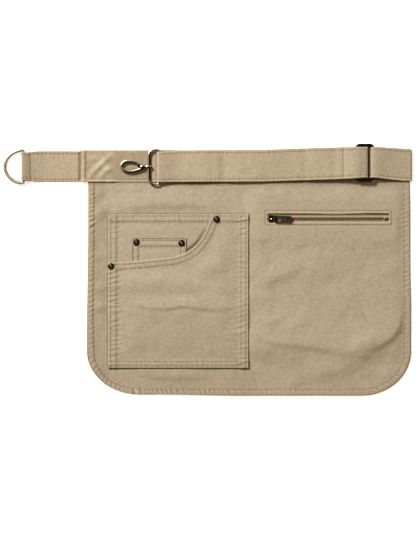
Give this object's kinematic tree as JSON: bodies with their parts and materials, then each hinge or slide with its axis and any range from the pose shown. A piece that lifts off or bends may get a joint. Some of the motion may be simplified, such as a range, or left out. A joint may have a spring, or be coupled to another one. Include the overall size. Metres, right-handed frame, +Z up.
{
  "type": "half waist apron",
  "caption": "Cotton twill half waist apron with patch pocket, coin pocket, zip pocket and a belt with slider, snap hook and D ring, lying flat with the belt folded back.",
  "frame": {"origin": "middle of the apron's box on the floor that it lies on", "axes": "+X along the waistband towards the belt's fold, +Y up the apron to the waistband, +Z up from the floor, out of the apron's front"},
  "size_m": [0.5102, 0.3144, 0.0111],
  "materials": {
    "twill": "matt cotton twill",
    "band_twill": "matt cotton twill",
    "zip_tape": "woven tape",
    "aged_brass": "dark antique brass",
    "pale_brass": "light antique brass",
    "rivet_copper": "dark copper plate"
  },
  "bodies": {
    "apron": {"panel": "twill", "zip_pocket_bag": "twill", "waistband": "band_twill", "belt": "band_twill", "left_tab": "band_twill", "pocket_facing": "twill", "coin_pocket": "twill", "pocket_front": "twill", "rivet_pocket_left": "rivet_copper", "rivet_coin_left": "rivet_copper", "rivet_coin_right": "rivet_copper", "rivet_pocket_right": "rivet_copper", "belt_slider": "aged_brass", "zip_tape_upper": "zip_tape", "zip_tape_lower": "zip_tape", "zip_chain": "aged_brass", "zip_end_stop": "aged_brass", "zip_slider": "aged_brass"},
    "ring": {"d_ring": "pale_brass"},
    "eye": {"hook_eye": "aged_brass"},
    "snap_hook": {"hook": "aged_brass"},
    "gate": {"hook_gate": "aged_brass"},
    "pull": {"zip_pull": "aged_brass"}
  },
  "joints": [
    {"name": "ring_hinge", "type": "hinge", "parent": "apron", "child": "ring", "pos_m": [-0.23, 0.1285, 0.003], "axis": [0, 1, 0], "range_deg": [0, 160]},
    {"name": "eye_hinge", "type": "hinge", "parent": "apron", "child": "eye", "pos_m": [-0.0612, 0.1281, 0.0067], "axis": [0, 1, 0], "range_deg": [0, 155]},
    {"name": "hook_swivel", "type": "hinge", "parent": "eye", "child": "snap_hook", "pos_m": [-0.0747, 0.1281, 0.0067], "axis": [1, 0, 0], "range_deg": [-12, 12]},
    {"name": "gate_hinge", "type": "hinge", "parent": "snap_hook", "child": "gate", "pos_m": [-0.0826, 0.1284, 0.0067], "axis": [0, 0, 1], "range_deg": [0, 25], "stiffness_Nm_per_rad": 0.01, "springref_deg": -11.46},
    {"name": "pull_hinge", "type": "hinge", "parent": "apron", "child": "pull", "pos_m": [0.0833, 0.0631, 0.0056], "axis": [0, -1, 0], "range_deg": [0, 170]}
  ]
}
